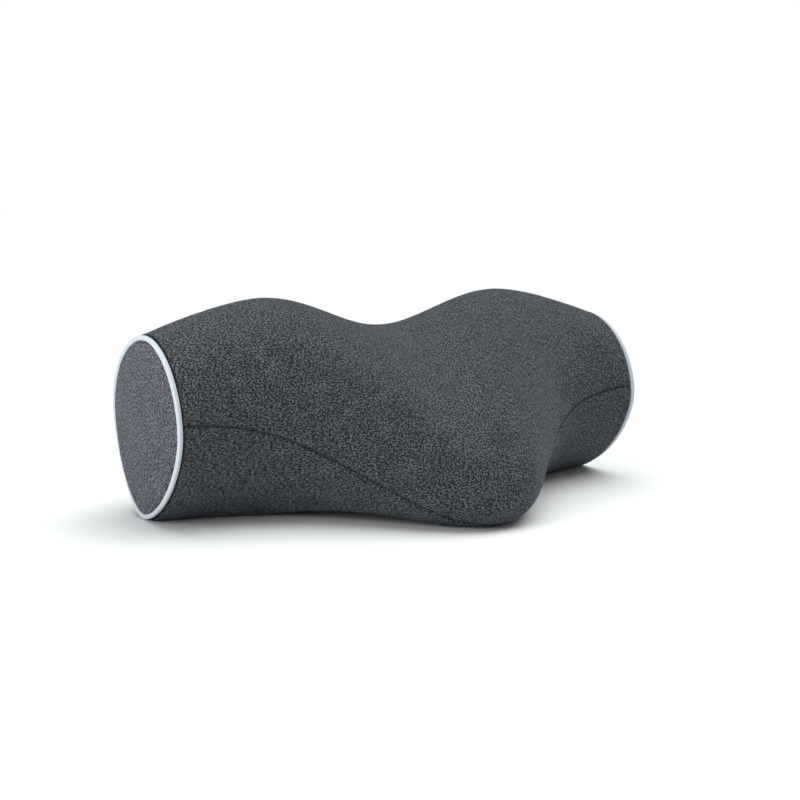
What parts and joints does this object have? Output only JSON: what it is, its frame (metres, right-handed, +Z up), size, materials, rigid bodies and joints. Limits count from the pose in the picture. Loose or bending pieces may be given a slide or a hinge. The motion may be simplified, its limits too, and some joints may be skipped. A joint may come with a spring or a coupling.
{
  "type": "cervical traction device",
  "caption": "Moulded-foam neck traction pillow with a saddle between two humps, a front tongue, and a knitted zip-off cover with piped oval ends.",
  "frame": {"origin": "on the rest plane, midway along the pillow, straight under the axis of the neck roll", "axes": "+X along the pillow towards its right end as seen from the tongue's side, +Y towards the back where the zip is, -Y towards the tongue's tip, +Z up"},
  "size_m": [0.33, 0.1844, 0.125],
  "materials": {
    "cotton_cord": "undyed cotton filler cord",
    "cover_knit": "dark heather-grey jersey knit",
    "end_knit": "mid-grey melange knit",
    "label_satin": "blank white satin ribbon",
    "liner_tricot": "thin white warp-knit liner",
    "memory_foam": "open-cell viscoelastic polyurethane foam, moulded skin",
    "piping_tape": "pale blue-grey bias tape with a soft sheen",
    "sewing_thread": "dark grey polyester sewing thread",
    "zip_coil": "nylon coil",
    "zip_metal": "die-cast zinc, dark enamel",
    "zip_tape": "woven polyester zip tape"
  },
  "bodies": {
    "pillow": {"bottom_panel": "cover_knit", "care_label": "label_satin", "end_panel_left": "end_knit", "end_panel_right": "end_knit", "end_seam_thread_left": "sewing_thread", "end_seam_thread_right": "sewing_thread", "foam_core": "memory_foam", "front_seam_thread": "sewing_thread", "liner_end_left": "liner_tricot", "liner_end_right": "liner_tricot", "liner_sleeve": "liner_tricot", "piping_cord_left": "cotton_cord", "piping_cord_right": "cotton_cord", "piping_tape_left": "piping_tape", "piping_tape_right": "piping_tape", "rear_seam_thread_left": "sewing_thread", "rear_seam_thread_right": "sewing_thread", "top_panel": "cover_knit", "zip_bottom_stop": "zip_metal", "zip_coil_lower": "zip_coil", "zip_coil_upper": "zip_coil", "zip_tape_lower": "zip_tape", "zip_tape_thread_lower": "sewing_thread", "zip_tape_thread_upper": "sewing_thread", "zip_tape_upper": "zip_tape", "zip_top_stops": "zip_metal"},
    "zip_slider": {"zip_slider": "zip_metal"},
    "zip_pull": {"zip_pull": "zip_metal"}
  },
  "joints": [
    {"name": "zip_slide", "type": "slide", "parent": "pillow", "child": "zip_slider", "axis": [-1, 0, 0], "range_m": [0, 0.2228]},
    {"name": "pull_flip", "type": "hinge", "parent": "zip_slider", "child": "zip_pull", "pos_m": [0.1114, 0.05375, 0.0627], "axis": [0, 0, -1], "range_deg": [0, 180]}
  ]
}
